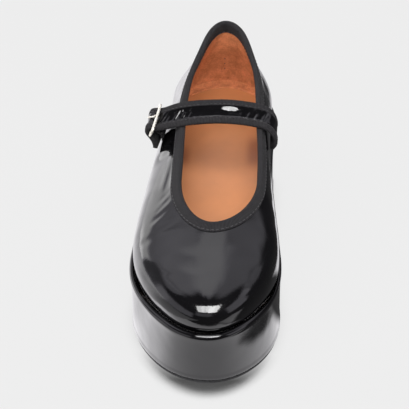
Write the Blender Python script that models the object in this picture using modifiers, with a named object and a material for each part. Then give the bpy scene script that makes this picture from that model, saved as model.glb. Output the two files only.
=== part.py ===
"""Platform Mary Jane flat, right shoe: wrapped platform, hollow upper, strap and buckle."""
import math

import bpy
import numpy as np

# ---------------------------------------------------------------- sizes, metres
LENGTH = 0.250            # platform, back of the heel to tip of the toe
HEEL_ROUND = 0.034        # how far the rounded heel reaches forward
TOE_ROUND = 0.083         # how far the rounded toe reaches back
TOE_POWER = 2.17          # 2 is an ellipse, more is squarer
SPRING_START = 0.165      # the toe leaves the floor from here
TOE_SPRING = 0.011        # lift of the tip
OUTSOLE_THICK = 0.0025
OUTSOLE_INSET = 0.0016
WALL_INSET = 0.0008       # platform wall behind the bead
BEAD_RADIUS = 0.0025
BEAD_DROP = 0.0010        # bead centre below the seat
SEAT_INSET = 0.0052       # flat seat starts here
GAP = 0.0003              # clearance between neighbours
UPPER_WALL = 0.0020
FEATHER_INSET = 0.0053    # lower edge of the upper, in from the rim
FEATHER_LIFT = 0.0004
WIDEST_LIFT = 0.0090      # the upper is widest this far above the seat
TUCK_POWER = 1.3
INSOLE_INSET = 0.0078
INSOLE_THICK = 0.0040
COLLAR_BACK = 0.0084      # back of the topline, forward of the heel
THROAT_END = 0.1824       # front of the topline
COLLAR_ROUND = 0.045
THROAT_ROUND = 0.036
THROAT_POWER = 1.9
STRAP_WIDTH = 0.0170
STRAP_THICK = 0.0024
WIRE = 0.00085            # radius of the buckle wire
FRAME_WIDTH = 0.0226      # buckle, between wire centres, across the strap
FRAME_CORNER = 0.0030
FRAME_SHIFT = 0.0006      # the buckle sits this much towards the toe side
NEAR_CLEAR = 0.0012       # the near bar stands this much more than a gap off the strap
FAR_CLEAR = 0.0007        # and the far bar
PIN = 0.0006
PIN_REACH = 0.9           # the pin lies on the strap this many steps past each bar
PIN_TIP = 0.0014          # its tip passes the near bar by this much
TAB_WIDTH = 0.0120
TAB_THICK = 0.0010
RING = 72                 # points round the foot
CORNER_TURN = 18          # degrees between points of the buckle's corners

# along, medial half width, lateral half width, seat height, margin medial, margin lateral
FOOT_ROWS = (
    (0.000, 0.0312, 0.0340, 0.0567, 0.0025, 0.0025),
    (0.030, 0.0322, 0.0352, 0.0562, 0.0020, 0.0018),
    (0.060, 0.0327, 0.0364, 0.0551, 0.0010, 0.0020),
    (0.095, 0.0326, 0.0418, 0.0519, 0.0010, 0.0018),
    (0.130, 0.0361, 0.0470, 0.0471, 0.0014, 0.0021),
    (0.165, 0.0407, 0.0507, 0.0437, 0.0014, 0.0024),
    (0.190, 0.0424, 0.0508, 0.0429, 0.0010, 0.0028),
    (0.215, 0.0420, 0.0476, 0.0440, 0.0018, 0.0030),
    (0.250, 0.0370, 0.0415, 0.0459, 0.0030, 0.0032))
ALONG, MEDIAL, LATERAL, SEAT, MARGIN_MEDIAL, MARGIN_LATERAL = range(6)

# along, medial half width, lateral half width, height
TOPLINE_ROWS = (
    (0.008, 0.0199, 0.0179, 0.1110),
    (0.030, 0.0193, 0.0170, 0.1057),
    (0.060, 0.0231, 0.0214, 0.1001),
    (0.090, 0.0252, 0.0232, 0.0948),
    (0.115, 0.0270, 0.0229, 0.0907),
    (0.140, 0.0278, 0.0225, 0.0866),
    (0.160, 0.0272, 0.0220, 0.0829),
    (0.183, 0.0264, 0.0214, 0.0796))
HEIGHT = 3

# along at the foot, along at the topline, pull at the foot, pull at the topline, slope there
RIB_ROWS = (
    (0.000, 0.0084, 0.0172, 0.0187, 86.5),
    (0.030, 0.0310, 0.0173, 0.0168, 80.5),
    (0.060, 0.0600, 0.0180, 0.0145, 72.3),
    (0.090, 0.0880, 0.0185, 0.0144, 66.0),
    (0.120, 0.1150, 0.0185, 0.0143, 58.0),
    (0.150, 0.1390, 0.0185, 0.0163, 48.0),
    (0.180, 0.1580, 0.0184, 0.0202, 36.0),
    (0.205, 0.1700, 0.0173, 0.0252, 28.0),
    (0.225, 0.1770, 0.0162, 0.0301, 23.0),
    (0.250, 0.1824, 0.0152, 0.0341, 20.0))
TOP_ALONG, FOOT_PULL, TOP_PULL, TOP_SLOPE = range(1, 5)

# step, across (medial +), along, height, width share, forward tilt, sweep
STRAP_ROWS = (
    (0.0, 0.0326, 0.0930, 0.0806, 0.96, 32.0, 2.0),
    (0.6, 0.0337, 0.0943, 0.0826, 1.00, 30.0, 2.0),
    (1.2, 0.0346, 0.0954, 0.0846, 1.00, 27.0, 2.0),
    (2.0, 0.0350, 0.0964, 0.0873, 1.00, 24.0, 2.0),
    (3.0, 0.0343, 0.0969, 0.0911, 1.00, 22.0, 1.0),
    (4.0, 0.0320, 0.0968, 0.0950, 1.00, 22.0, 0.0),
    (5.0, 0.0283, 0.0963, 0.0975, 1.00, 23.0, 0.0),
    (6.5, 0.0200, 0.0960, 0.0996, 1.00, 24.0, 0.0),
    (8.5, 0.0070, 0.0960, 0.1012, 1.00, 25.0, 0.0),
    (10.5, -0.0060, 0.0960, 0.1010, 1.00, 25.0, -2.0),
    (12.5, -0.0190, 0.0960, 0.0994, 1.00, 28.0, -5.0),
    (14.0, -0.0280, 0.0961, 0.0973, 1.00, 32.0, -10.0),
    (15.2, -0.0339, 0.0960, 0.0953, 1.00, 29.0, -14.0),
    (16.2, -0.0380, 0.0957, 0.0943, 1.00, 22.0, -14.0),
    (17.2, -0.0415, 0.0953, 0.0943, 1.00, 17.0, -11.0),
    (18.0, -0.0433, 0.0950, 0.0930, 1.00, 15.0, -8.0),
    (18.8, -0.0433, 0.0947, 0.0902, 1.00, 14.0, -8.0),
    (19.8, -0.0410, 0.0944, 0.0863, 1.00, 13.0, -9.0),
    (21.0, -0.0387, 0.0941, 0.0810, 1.00, 12.0, -11.0),
    (21.7, -0.0383, 0.0940, 0.0777, 0.92, 9.0, -12.0),
    (22.0, -0.0384, 0.0939, 0.0763, 0.75, 8.0, -12.0))
STEP, ACROSS, STRAP_ALONG, STRAP_HEIGHT, SHARE, TILT, SWEEP = range(7)
NEAR_BAR, FAR_BAR = 16.2, 18.6        # strap steps where the buckle's two bars cross it

# step, across, along, height of the tab that holds the buckle
TAB_ROWS = (
    (0.0, -0.0352, 0.0930, 0.0796),
    (1.0, -0.0342, 0.0933, 0.0830),
    (2.0, -0.0352, 0.0938, 0.0868),
    (3.0, -0.0396, 0.0949, 0.0904))

# name, base colour, roughness, metallic
MATERIALS = {
    "patent": ((0.012, 0.012, 0.013, 1.0), 0.06, 0.0),
    "rubber": ((0.015, 0.015, 0.016, 1.0), 0.60, 0.0),
    "sock": ((0.40, 0.19, 0.08, 1.0), 0.50, 0.0),
    "strap": ((0.014, 0.014, 0.015, 1.0), 0.30, 0.0),
    "metal": ((0.80, 0.80, 0.82, 1.0), 0.15, 1.0)}


# ---------------------------------------------------------------- shapes
def read(rows, column, x):
    """Value of one column at x, a smooth curve through the rows."""
    table = np.array(rows, dtype=float)
    xs, ys = table[:, 0], table[:, column]
    x = np.clip(np.asarray(x, dtype=float), xs[0], xs[-1])
    step = np.diff(xs)
    rate = np.diff(ys) / step
    slope = np.concatenate((
        rate[:1], (rate[:-1] * step[1:] + rate[1:] * step[:-1]) / (step[:-1] + step[1:]), rate[-1:]))
    i = np.clip(np.searchsorted(xs, x, side="right") - 1, 0, len(step) - 1)
    u = (x - xs[i]) / step[i]
    return (ys[i] * (1 + 2 * u) * (1 - u) ** 2 + ys[i + 1] * u * u * (3 - 2 * u)
            + step[i] * (slope[i] * u * (1 - u) ** 2 - slope[i + 1] * u * u * (1 - u)))


def rounded_ends(along, length, heel, toe, power):
    """1 along the middle, falling to 0 at both rounded ends."""
    back = np.clip(1 - along / heel, 0, 1)
    front = np.clip((along - length + toe) / toe, 0, 1)
    return np.sqrt(1 - back ** 2) * (1 - front ** power) ** (1 / power)


def seat(along):
    return read(FOOT_ROWS, SEAT, along)


def ground(along):
    """Underside of the outsole: flat, then curving up to the toe."""
    t = np.clip((along - SPRING_START) / (LENGTH - SPRING_START), 0, 1)
    return TOE_SPRING * t ** 2


def turns(count):
    return np.arange(count) / count


def side_and_share(turn):
    """A turn of 0 is the heel, 0.5 the toe; medial first, then lateral."""
    turn = np.mod(turn, 1.0)
    share = np.where(turn <= 0.5, 2 * turn, 2 - 2 * turn)
    return np.where(turn <= 0.5, 1.0, -1.0), (1 - np.cos(math.pi * share)) / 2


def by_side(rows, medial, lateral, side, x):
    return np.where(side > 0, read(rows, medial, x), read(rows, lateral, x))


def rim(turn):
    """Outermost line of the platform, as (across, along)."""
    side, share = side_and_share(turn)
    along = LENGTH * share
    half = by_side(FOOT_ROWS, MEDIAL, LATERAL, side, along)
    half = half * rounded_ends(along, LENGTH, HEEL_ROUND, TOE_ROUND, TOE_POWER)
    return np.stack([side * half, along], axis=-1)


def outline(turn, inset):
    """The rim moved inwards, square to itself."""
    turn = np.asarray(turn, dtype=float)
    run = rim(turn + 1e-4) - rim(turn - 1e-4)
    run = run / np.linalg.norm(run, axis=-1, keepdims=True)
    inward = np.stack([-run[..., 1], run[..., 0]], axis=-1)
    return rim(turn) + inward * np.asarray(inset)[..., None]


def topline(along, side):
    """Point of the topline, as (across, along, height)."""
    half = by_side(TOPLINE_ROWS, MEDIAL, LATERAL, side, along)
    half = half * rounded_ends(along - COLLAR_BACK, THROAT_END - COLLAR_BACK,
                               COLLAR_ROUND, THROAT_ROUND, THROAT_POWER)
    return np.stack([side * half, along, read(TOPLINE_ROWS, HEIGHT, along)], axis=-1)


def upper_rib(turn, rise):
    """Outer face of the upper. Rise 0 to 1 is the tuck under, 1 to 2 the wall to the topline."""
    turn, rise = np.broadcast_arrays(np.asarray(turn, dtype=float), np.asarray(rise, dtype=float))
    side, share = side_and_share(turn)
    station = LENGTH * share
    margin = by_side(FOOT_ROWS, MARGIN_MEDIAL, MARGIN_LATERAL, side, station)
    lift = FEATHER_LIFT + (WIDEST_LIFT - FEATHER_LIFT) * np.clip(rise, 0, 1)
    inset = margin + (FEATHER_INSET - margin) * (1 - lift / WIDEST_LIFT) ** TUCK_POWER
    low = outline(turn, inset)
    low = np.stack([low[..., 0], low[..., 1], seat(low[..., 1]) + lift], axis=-1)
    foot = outline(turn, margin)
    foot = np.stack([foot[..., 0], foot[..., 1], seat(foot[..., 1]) + WIDEST_LIFT], axis=-1)
    top = topline(read(RIB_ROWS, TOP_ALONG, station), side)
    toward = top - foot
    toward[..., 2] = 0
    toward = toward / np.linalg.norm(toward, axis=-1, keepdims=True)
    slope = np.radians(read(RIB_ROWS, TOP_SLOPE, station))[..., None]
    up = np.array([0.0, 0.0, 1.0])
    pull_a = foot + up * read(RIB_ROWS, FOOT_PULL, station)[..., None]
    pull_b = top - (toward * np.cos(slope) + up * np.sin(slope)) \
        * read(RIB_ROWS, TOP_PULL, station)[..., None]
    t = np.clip(rise - 1, 0, 1)[..., None]
    high = (1 - t) ** 3 * foot + 3 * (1 - t) ** 2 * t * pull_a \
        + 3 * (1 - t) * t * t * pull_b + t ** 3 * top
    return np.where(rise[..., None] < 1, low, high)


def middle_across():
    """Middle of the widest points of the foot."""
    edge = rim(turns(RING * 10))[:, 0]
    return (edge.max() + edge.min()) / 2


CENTRE = middle_across()


def place(points):
    """(across, along, height) to X, Y, Z: medial is +X, the heel is +Y."""
    points = np.asarray(points, dtype=float)
    return np.stack([points[..., 0] - CENTRE, LENGTH / 2 - points[..., 1], points[..., 2]], axis=-1)


def strap_frame(step):
    """Centre, across-the-strap direction and outward normal of the strap at each step."""
    small = 0.02
    centre, ahead, behind = (
        np.stack([read(STRAP_ROWS, c, s) for c in (ACROSS, STRAP_ALONG, STRAP_HEIGHT)], axis=-1)
        for s in (step, step + small, step - small))
    tilt, sweep = np.radians(read(STRAP_ROWS, TILT, step)), np.radians(read(STRAP_ROWS, SWEEP, step))
    wide = np.stack([np.sin(sweep), np.cos(sweep) * np.cos(tilt), -np.cos(sweep) * np.sin(tilt)], -1)
    out = np.cross(wide, ahead - behind)
    return centre, wide, out / np.linalg.norm(out, axis=-1, keepdims=True)


# ---------------------------------------------------------------- building
def clean():
    for item in list(bpy.data.objects):
        bpy.data.objects.remove(item, do_unlink=True)


def make_material(name):
    colour, rough, metal = MATERIALS[name]
    material = bpy.data.materials.new(name)
    material.use_nodes = True
    shader = material.node_tree.nodes["Principled BSDF"]
    shader.inputs["Base Color"].default_value = colour
    shader.inputs["Roughness"].default_value = rough
    shader.inputs["Metallic"].default_value = metal
    return material


def add_solid(collection, name, material, verts, faces):
    mesh = bpy.data.meshes.new(name)
    mesh.from_pydata([tuple(map(float, v)) for v in verts], [], faces)
    mesh.materials.append(material)
    mesh.polygons.foreach_set("use_smooth", [True] * len(mesh.polygons))
    mesh.update()
    item = bpy.data.objects.new(name, mesh)
    collection.objects.link(item)
    return item


def grid_faces(rows, columns, wrap):
    """Quads of a grid stored row after row; wrap joins the last column to the first."""
    faces = []
    for r in range(rows - 1):
        for c in range(columns if wrap else columns - 1):
            d = (c + 1) % columns
            faces.append((r * columns + c, r * columns + d,
                          (r + 1) * columns + d, (r + 1) * columns + c))
    return faces


def ladder(start, count, flip):
    """Rungs from the medial to the lateral side of a ring, closing it."""
    half = count // 2
    faces = [(0, 1, count - 1), (half, half + 1, half - 1)]
    faces += [(i, i + 1, count - i - 1, count - i) for i in range(1, half - 1)]
    faces = [tuple(start + i for i in face) for face in faces]
    return [face[::-1] for face in faces] if flip else faces


def foot_block(collection, name, material, rings):
    """Solid made of closed rings of the foot's outline: (inset, height function, offset)."""
    turn = turns(RING)
    verts = []
    for inset, height, offset in rings:
        flat = outline(turn, np.full(RING, inset))
        verts.append(place(np.column_stack([flat, height(flat[:, 1]) + offset])))
    faces = grid_faces(len(rings), RING, True)
    faces += ladder(0, RING, True) + ladder((len(rings) - 1) * RING, RING, False)
    return add_solid(collection, name, material, np.concatenate(verts), faces)


def sweep_section(collection, name, material, sections):
    """Closed sections joined one after another, flat at both ends."""
    count, around = len(sections), len(sections[0])
    faces = grid_faces(count, around, True)
    faces.append(tuple(range(around))[::-1])
    faces.append(tuple((count - 1) * around + i for i in range(around)))
    return add_solid(collection, name, material, place(np.concatenate(sections)), faces)


def upright(item):
    """Turn the faces outwards when the solid was wound inside out."""
    mesh = item.data
    mesh.calc_loop_triangles()
    volume = sum(mesh.vertices[t.vertices[0]].co.dot(
        mesh.vertices[t.vertices[1]].co.cross(mesh.vertices[t.vertices[2]].co))
        for t in mesh.loop_triangles)
    if volume < 0:
        mesh.flip_normals()
    return item


def build_sole(collection, materials):
    outsole = [(OUTSOLE_INSET + 0.0006, ground, 0.0), (OUTSOLE_INSET, ground, 0.0006),
               (OUTSOLE_INSET, ground, OUTSOLE_THICK)]
    upright(foot_block(collection, "outsole", materials["rubber"], outsole))
    low = OUTSOLE_THICK + GAP
    rings = [(WALL_INSET + 0.0005, ground, low), (WALL_INSET, ground, low + 0.0006),
             (WALL_INSET, seat, -0.0060)]
    for angle in range(-45, 151, 20):
        a = math.radians(angle)
        rings.append((BEAD_RADIUS * (1 - math.cos(a)), seat, BEAD_RADIUS * math.sin(a) - BEAD_DROP))
    rings.append((SEAT_INSET, seat, 0.0))
    upright(foot_block(collection, "platform", materials["patent"], rings))
    top = GAP + INSOLE_THICK
    insole = [(INSOLE_INSET, seat, GAP), (INSOLE_INSET - 0.0005, seat, top - 0.0008),
              (INSOLE_INSET + 0.0002, seat, top)]
    upright(foot_block(collection, "insole", materials["sock"], insole))


def build_upper(collection, material):
    rises = np.array([0.0, 0.28, 0.62, 1.0, 1.10, 1.21, 1.32, 1.44, 1.56, 1.68, 1.79, 1.90, 2.0])
    turn, rise = np.meshgrid(turns(RING), rises)
    verts = place(upper_rib(turn, rise)).reshape(-1, 3)
    faces = [face[::-1] for face in grid_faces(len(rises), RING, True)]
    item = add_solid(collection, "upper", material, verts, faces)
    shell = item.modifiers.new("wall", "SOLIDIFY")
    shell.thickness = UPPER_WALL
    shell.offset = -1.0
    shell.use_even_offset = True
    return item


def build_strap(collection, material):
    """Flat band with eased edges, sampled closer where it bends."""
    steps = np.concatenate([np.linspace(0.0, 5.0, 15), np.linspace(5.6, 14.0, 13),
                            np.linspace(14.5, 22.0, 23)])
    ease = STRAP_THICK * 0.3
    sections = []
    for c, w, n, share in zip(*strap_frame(steps), read(STRAP_ROWS, SHARE, steps)):
        a, b = STRAP_WIDTH * share / 2, STRAP_THICK / 2
        corners = ((a - ease, b), (a, b - ease), (a, ease - b), (a - ease, -b),
                   (ease - a, -b), (-a, ease - b), (-a, b - ease), (ease - a, b))
        sections.append([c + w * p + n * q for p, q in corners])
    upright(sweep_section(collection, "strap", material, sections))


def buckle_bars():
    """Centres of the near bar, laid on the strap, and the far bar, under it."""
    centre, wide, out = strap_frame(np.array([NEAR_BAR, FAR_BAR]))
    reach = STRAP_THICK / 2 + GAP + WIRE
    near, far = centre[0] + out[0] * (reach + NEAR_CLEAR), centre[1] - out[1] * (reach + FAR_CLEAR)
    across = wide[0] + wide[1]
    across = across / np.linalg.norm(across)
    down = far - near
    down = down - across * across.dot(down)
    length = np.linalg.norm(down)
    down = down / length
    return (near + far) / 2 + across * FRAME_SHIFT, across, down, length


def wire(collection, name, material, path, radius, closed, taper=()):
    """Round wire along a path of points."""
    curve = bpy.data.curves.new(name, "CURVE")
    curve.dimensions = "3D"
    curve.bevel_depth = radius
    curve.bevel_resolution = 2
    curve.use_fill_caps = not closed
    spline = curve.splines.new("POLY")
    spline.points.add(len(path) - 1)
    for point, position in zip(spline.points, place(np.array(path))):
        point.co = (*position, 1.0)
    for index, share in taper:
        spline.points[index].radius = share
    spline.use_cyclic_u = closed
    spline.use_smooth = True
    curve.materials.append(material)
    item = bpy.data.objects.new(name, curve)
    collection.objects.link(item)
    return item


def build_buckle(collection, metal, dark):
    middle, across, down, length = buckle_bars()
    path = []
    for sx, sy, start in ((1, 1, 0), (-1, 1, 90), (-1, -1, 180), (1, -1, 270)):
        corner = middle + across * sx * (FRAME_WIDTH / 2 - FRAME_CORNER) \
            + down * sy * (length / 2 - FRAME_CORNER)
        for angle in range(start, start + 91, CORNER_TURN):
            a = math.radians(angle)
            path.append(corner + FRAME_CORNER * (math.cos(a) * across + math.sin(a) * down))
    wire(collection, "buckle_frame", metal, path, WIRE, True)

    centre, _, out = strap_frame(np.linspace(FAR_BAR - PIN_REACH, NEAR_BAR + PIN_REACH, 6))
    pin = list(centre + out * (STRAP_THICK / 2 + GAP + PIN))
    face = np.cross(across, down)
    face = face if face[2] > 0 else -face
    rest = middle - down * length / 2 + face * (WIRE + GAP + PIN)
    pin += [pin[-1] * 0.5 + rest * 0.5, rest, rest - down * PIN_TIP]
    wire(collection, "buckle_pin", metal, pin, PIN, False, taper=((-1, 0.7),))

    steps = np.linspace(0, 3, 9)
    centre = np.stack([read(TAB_ROWS, c, steps) for c in (1, 2, 3)], axis=-1)
    run = np.gradient(centre, axis=0)
    wide = np.broadcast_to(across, centre.shape)
    normal = np.cross(wide, run)
    normal = normal / np.linalg.norm(normal, axis=1, keepdims=True)
    a, b = TAB_WIDTH / 2, TAB_THICK / 2
    sections = [[c + w * p + n * q for p, q in ((a, b), (a, -b), (-a, -b), (-a, b))]
                for c, w, n in zip(centre, wide, normal)]
    upright(sweep_section(collection, "buckle_tab", dark, sections))


def main():
    clean()
    collection = bpy.data.collections.new("platform_mary_jane")
    bpy.context.scene.collection.children.link(collection)
    materials = {name: make_material(name) for name in MATERIALS}
    build_sole(collection, materials)
    build_upper(collection, materials["patent"])
    build_strap(collection, materials["strap"])
    build_buckle(collection, materials["metal"], materials["rubber"])


main()
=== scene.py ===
"""Looks of the platform Mary Jane flat, right shoe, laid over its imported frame.

Patent upper and platform, woven binding, tan linings, strap, buckle and the stage.
Shapes are worked out in shoe coordinates: across (medial +), along (from the heel) and height.
"""
import math

import bpy
import numpy as np
from bpy.props import FloatProperty, FloatVectorProperty, PointerProperty
from mathutils import Matrix, Vector


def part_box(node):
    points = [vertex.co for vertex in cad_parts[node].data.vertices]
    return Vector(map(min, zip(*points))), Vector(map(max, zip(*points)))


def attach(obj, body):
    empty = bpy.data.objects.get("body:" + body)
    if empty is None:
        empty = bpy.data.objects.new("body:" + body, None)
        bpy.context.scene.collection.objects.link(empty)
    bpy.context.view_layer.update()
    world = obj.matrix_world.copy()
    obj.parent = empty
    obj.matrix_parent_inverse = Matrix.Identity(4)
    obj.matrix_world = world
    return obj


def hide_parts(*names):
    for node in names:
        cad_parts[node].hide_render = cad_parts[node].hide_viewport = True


bl_info = {
    "name": "Platform Mary Jane Flat",
    "version": (1, 0, 0),
    "blender": (4, 5, 0),
    "location": "View3D > Sidebar > Shoe",
    "description": "Builds the finished surfaces of a platform Mary Jane flat",
    "category": "Object",
}

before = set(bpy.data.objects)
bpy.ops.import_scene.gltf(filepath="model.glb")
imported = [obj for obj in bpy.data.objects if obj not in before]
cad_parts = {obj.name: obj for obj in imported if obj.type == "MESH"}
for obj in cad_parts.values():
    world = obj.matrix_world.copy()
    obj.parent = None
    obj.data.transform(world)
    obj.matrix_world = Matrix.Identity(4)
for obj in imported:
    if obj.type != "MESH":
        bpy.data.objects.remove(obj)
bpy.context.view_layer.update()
BODY = "root"
PLATFORM_LOW, PLATFORM_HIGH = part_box("platform")
LENGTH = PLATFORM_HIGH.y - PLATFORM_LOW.y
HEEL_Y = PLATFORM_HIGH.y

# ---------------------------------------------------------------- the last, metres
# The places and rounding of collar and throat, the toe's rounding and spring, the feather's
# inset and the camera's default angles and lens come from the same fit as the tables below.
HEEL_ROUND = 0.034
TOE_ROUND = 0.083
TOE_POWER = 2.17
SPRING_START = 0.165
TOE_SPRING = 0.011
OUTSOLE_THICK = 0.0025
OUTSOLE_INSET = 0.0016
WALL_INSET = 0.0008
BEAD_RADIUS = 0.0025
BEAD_DROP = 0.0010
GAP = 0.0003
FEATHER_INSET = 0.0053
FEATHER_LIFT = 0.0004
WIDEST_LIFT = 0.0090
TUCK_POWER = 2.6
INSOLE_TOP = 0.0043
COLLAR_BACK = 0.0084
THROAT_END = 0.1824
COLLAR_ROUND = 0.045
THROAT_ROUND = 0.036
THROAT_POWER = 1.9
WALL = 0.0020
STRAP_WIDTH = 0.0170
STRAP_THICK = 0.0024
NEAR_BAR, FAR_BAR = 16.2, 18.6

# The next three tables are rounded from a least-squares fit of the shoe's outline, and some of
# their values were then changed.
# along, medial half width, lateral half width, seat height, margin medial, margin lateral
FOOT_ROWS = (
    (0.000, 0.0312, 0.0340, 0.0567, 0.0025, 0.0025),
    (0.030, 0.0322, 0.0352, 0.0562, 0.0020, 0.0018),
    (0.060, 0.0327, 0.0364, 0.0551, 0.0010, 0.0020),
    (0.095, 0.0326, 0.0418, 0.0519, 0.0010, 0.0018),
    (0.130, 0.0361, 0.0470, 0.0471, 0.0014, 0.0021),
    (0.165, 0.0407, 0.0507, 0.0437, 0.0014, 0.0024),
    (0.190, 0.0424, 0.0508, 0.0429, 0.0010, 0.0028),
    (0.215, 0.0420, 0.0476, 0.0440, 0.0018, 0.0030),
    (0.250, 0.0370, 0.0415, 0.0459, 0.0030, 0.0032))
MEDIAL, LATERAL, SEAT, MARGIN_MEDIAL, MARGIN_LATERAL = range(1, 6)

# along, medial half width, lateral half width, height
TOPLINE_ROWS = (
    (0.008, 0.0199, 0.0179, 0.1110),
    (0.030, 0.0193, 0.0170, 0.1057),
    (0.060, 0.0231, 0.0214, 0.1001),
    (0.090, 0.0252, 0.0232, 0.0948),
    (0.115, 0.0270, 0.0229, 0.0907),
    (0.140, 0.0278, 0.0225, 0.0866),
    (0.160, 0.0272, 0.0220, 0.0829),
    (0.183, 0.0264, 0.0214, 0.0796))
HEIGHT = 3

# along at the foot, along at the topline, pull at the foot, pull at the topline, slope there
RIB_ROWS = (
    (0.000, 0.0084, 0.0172, 0.0187, 86.5),
    (0.030, 0.0310, 0.0173, 0.0168, 80.5),
    (0.060, 0.0600, 0.0180, 0.0145, 72.3),
    (0.090, 0.0880, 0.0185, 0.0144, 66.0),
    (0.120, 0.1150, 0.0185, 0.0143, 58.0),
    (0.150, 0.1390, 0.0185, 0.0163, 48.0),
    (0.180, 0.1580, 0.0184, 0.0202, 36.0),
    (0.205, 0.1700, 0.0173, 0.0252, 28.0),
    (0.225, 0.1770, 0.0162, 0.0301, 23.0),
    (0.250, 0.1824, 0.0152, 0.0341, 20.0))
TOP_ALONG, FOOT_PULL, TOP_PULL, TOP_SLOPE = range(1, 5)

# step, across, along, height, width share, forward tilt, sweep
STRAP_ROWS = (
    (0.0, 0.0326, 0.0930, 0.0806, 0.96, 32.0, 2.0),
    (0.6, 0.0337, 0.0943, 0.0826, 1.00, 30.0, 2.0),
    (1.2, 0.0346, 0.0954, 0.0846, 1.00, 27.0, 2.0),
    (2.0, 0.0350, 0.0964, 0.0873, 1.00, 24.0, 2.0),
    (3.0, 0.0343, 0.0969, 0.0911, 1.00, 22.0, 1.0),
    (4.0, 0.0320, 0.0968, 0.0950, 1.00, 22.0, 0.0),
    (5.0, 0.0283, 0.0963, 0.0975, 1.00, 23.0, 0.0),
    (6.5, 0.0200, 0.0960, 0.0996, 1.00, 24.0, 0.0),
    (8.5, 0.0070, 0.0960, 0.1012, 1.00, 25.0, 0.0),
    (10.5, -0.0060, 0.0960, 0.1010, 1.00, 25.0, -2.0),
    (12.5, -0.0190, 0.0960, 0.0994, 1.00, 28.0, -5.0),
    (14.0, -0.0280, 0.0961, 0.0973, 1.00, 32.0, -10.0),
    (15.2, -0.0339, 0.0960, 0.0953, 1.00, 29.0, -14.0),
    (16.2, -0.0380, 0.0957, 0.0943, 1.00, 22.0, -14.0),
    (17.2, -0.0415, 0.0953, 0.0943, 1.00, 17.0, -11.0),
    (18.0, -0.0433, 0.0950, 0.0930, 1.00, 15.0, -8.0),
    (18.8, -0.0433, 0.0947, 0.0902, 1.00, 14.0, -8.0),
    (19.8, -0.0410, 0.0944, 0.0863, 1.00, 13.0, -9.0),
    (21.0, -0.0387, 0.0941, 0.0810, 1.00, 12.0, -11.0),
    (21.7, -0.0383, 0.0940, 0.0777, 0.92, 9.0, -12.0),
    (22.0, -0.0384, 0.0939, 0.0763, 0.75, 8.0, -12.0))
ACROSS, SHARE, TILT, SWEEP = 1, 4, 5, 6
STRAP_END = 22.0

# step, across, along, height of the tab that holds the buckle
TAB_ROWS = (
    (0.0, -0.0352, 0.0930, 0.0796),
    (1.0, -0.0342, 0.0933, 0.0830),
    (2.0, -0.0352, 0.0938, 0.0868),
    (3.0, -0.0396, 0.0949, 0.0904))

# Soft troughs in the patent: side, along and drop below the topline at both ends, width, depth
CREASE_ROWS = (
    (-1, 0.112, 0.0062, 0.150, 0.0142, 0.0026, -0.00037),
    (-1, 0.1075, 0.0050, 0.1075, 0.0280, 0.0055, -0.00070),
    (-1, 0.1500, 0.0045, 0.1575, 0.0165, 0.0016, 0.00014),
    (-1, 0.1575, 0.0060, 0.1660, 0.0200, 0.0017, 0.00016),
    (-1, 0.1645, 0.0090, 0.1745, 0.0265, 0.0019, 0.00016),
    (-1, 0.1735, 0.0080, 0.1840, 0.0310, 0.0022, 0.00016),
    (-1, 0.1790, 0.0110, 0.1835, 0.0400, 0.0026, -0.00020),
    (-1, 0.2000, 0.0335, 0.2170, 0.0420, 0.0045, -0.00042),
    (1, 0.1940, 0.0130, 0.2070, 0.0330, 0.0042, 0.00024),
    (1, 0.120, 0.010, 0.134, 0.030, 0.0036, 0.00016),
    (1, 0.146, 0.009, 0.160, 0.030, 0.0034, 0.00014))

# Slow ripples of stretched leather: waves per metre across, along and up, phase, height
RIPPLE_ROWS = (
    (31.0, 22.0, 17.0, 0.4, 0.00010),
    (-18.0, 39.0, 23.0, 1.9, 0.00008),
    (44.0, -29.0, 35.0, 3.1, 0.00005),
    (12.0, 61.0, -40.0, 5.0, 0.00003))

# Painted shadow on the sock near the quarters at both sides of the arch: across and along, each as
# from, to and softness, then their strength
SOCK_PAINTED_SHADOWS = (
    (-0.0300, -0.0155, 0.0035, 0.033, 0.047, 0.006, 0.75),
    (0.0215, 0.0330, 0.0035, 0.033, 0.057, 0.007, 0.75))

# Light that surrounds the shoe: turn from the heel towards the medial side and height above the
# floor, in degrees, each as from, to and softness, then the radiance. This table and the next
# follow measured brightness and were then tuned.
SKY_GLOW = (
    (-200, 200, 9, -30, 100, 9, 0.045),
    (-142, -75, 5, -15, 29, 5, 0.46),
    (-92, -75, 4, -15, 24, 5, 0.20),
    (-75, -60, 3, -15, 2, 4, 0.60),
    (-75, -58, 3, 2, 38, 4, 0.12),
    (-75, -58, 3, 38, 60, 5, 0.45),
    (-58, -26, 3, -15, 25, 5, 1.35),
    (-58, -44, 5, -14, 8, 6, 0.90),
    (-58, -26, 3, 25, 41, 5, 0.42),
    (-58, -26, 10, 41, 68, 6, 0.62),
    (-26, 14, 6, -15, 46, 5, 0.38),
    (-26, 14, 10, 46, 80, 7, 0.90),
    (14, 60, 10, 38, 75, 7, 0.45),
    (60, 78, 5, 29, 50, 5, 0.35),
    (76, 90, 4, 26, 46, 4, 0.60),
    (90, 121, 4, 5, 42, 4, 0.54),
    (-200, -150, 5, 22, 45, 4, 0.34),
    (165, 200, 5, 24, 45, 4, 0.34))

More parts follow.
